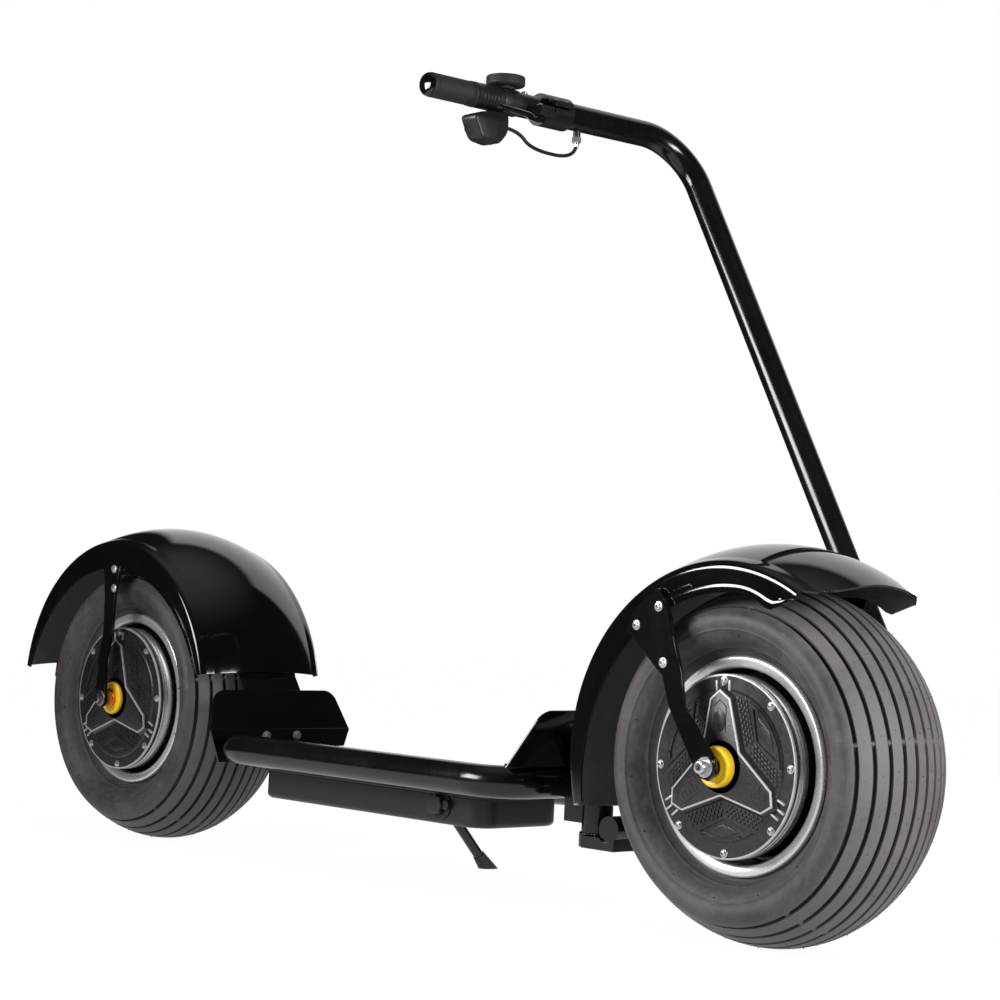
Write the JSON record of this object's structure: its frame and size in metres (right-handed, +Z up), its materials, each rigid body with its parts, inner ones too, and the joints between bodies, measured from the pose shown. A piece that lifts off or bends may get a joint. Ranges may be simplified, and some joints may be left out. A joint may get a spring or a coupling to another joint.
{
  "type": "electric chopper scooter",
  "caption": "Low electric chopper scooter with fat tyres, a flat deck between bent tubes, full fenders and a one-sided raked handle that bends across to a single grip",
  "frame": {"origin": "on the ground, midway between the axles, in the wheels' centre plane", "axes": "+X forward, +Y to the rider's left, +Z up"},
  "size_m": [1.8162, 0.5884, 1.111],
  "materials": {
    "tyre": "matt black rubber with a brown-grey bloom on the tread",
    "rim": "machined lip",
    "hub": "satin black",
    "hub_cover": "satin black with bright edges",
    "bushing": "bright yellow",
    "steel": "plain steel",
    "fender": "gloss black",
    "tube": "gloss black",
    "plate": "satin black",
    "deck": "matt black grip surface",
    "grip": "matt black",
    "control": "matt black moulding",
    "lever": "grey anodised",
    "lens": "gloss black",
    "cable": "black sheath"
  },
  "bodies": {
    "frame": {"main_tube": "tube", "battery_box": "plate", "deck_board": "deck", "charge_port": "control", "rear_bulkhead": "plate", "front_bulkhead": "plate", "steering_head": "plate", "rear_dropout": "plate", "rear_fender": "fender", "rear_fender_bracket": "plate", "rear_stay_right": "plate", "rear_stay_left": "plate", "rear_axle": "steel", "rear_bushing": "bushing", "rear_reflector": "lens", "stand_bracket": "plate"},
    "rear_wheel": {"rear_tyre": "tyre", "rear_rim": "rim", "rear_hub": "hub", "rear_hub_cover": "hub_cover"},
    "steering": {"steering_yoke": "plate", "fork_arm": "tube", "knuckle": "plate", "handle_tube": "tube", "inner_bar": "tube", "tube_clamp": "plate", "throttle": "control", "grip": "grip", "brake_perch": "control", "brake_lever": "lever", "gauge": "lens", "horn_switch": "control", "cable_gland": "steel", "switch_cable": "cable", "front_fender": "fender", "fender_bracket_right": "plate", "fender_bracket_left": "plate", "front_stay": "plate", "front_axle": "steel", "front_bushing": "bushing", "brake_caliper": "plate"},
    "front_wheel": {"front_tyre": "tyre", "front_rim": "rim", "front_hub": "hub", "front_hub_cover": "hub_cover", "brake_disc": "steel"},
    "stand": {"stand_leg": "plate", "stand_foot": "grip"}
  },
  "joints": [
    {"name": "steering", "type": "hinge", "parent": "frame", "child": "steering", "pos_m": [0.345, 0, 0.15], "axis": [0, 0, 1], "range_deg": [-20, 20]},
    {"name": "front_spin", "type": "hinge", "parent": "steering", "child": "front_wheel", "pos_m": [0.655, 0, 0.229], "axis": [0, 1, 0], "continuous": true},
    {"name": "rear_spin", "type": "hinge", "parent": "frame", "child": "rear_wheel", "pos_m": [-0.655, 0, 0.229], "axis": [0, 1, 0], "continuous": true},
    {"name": "stand_fold", "type": "hinge", "parent": "frame", "child": "stand", "pos_m": [-0.114, 0.136, 0.104], "axis": [0, 0.7348, 0.6783], "range_deg": [0, 90]}
  ]
}
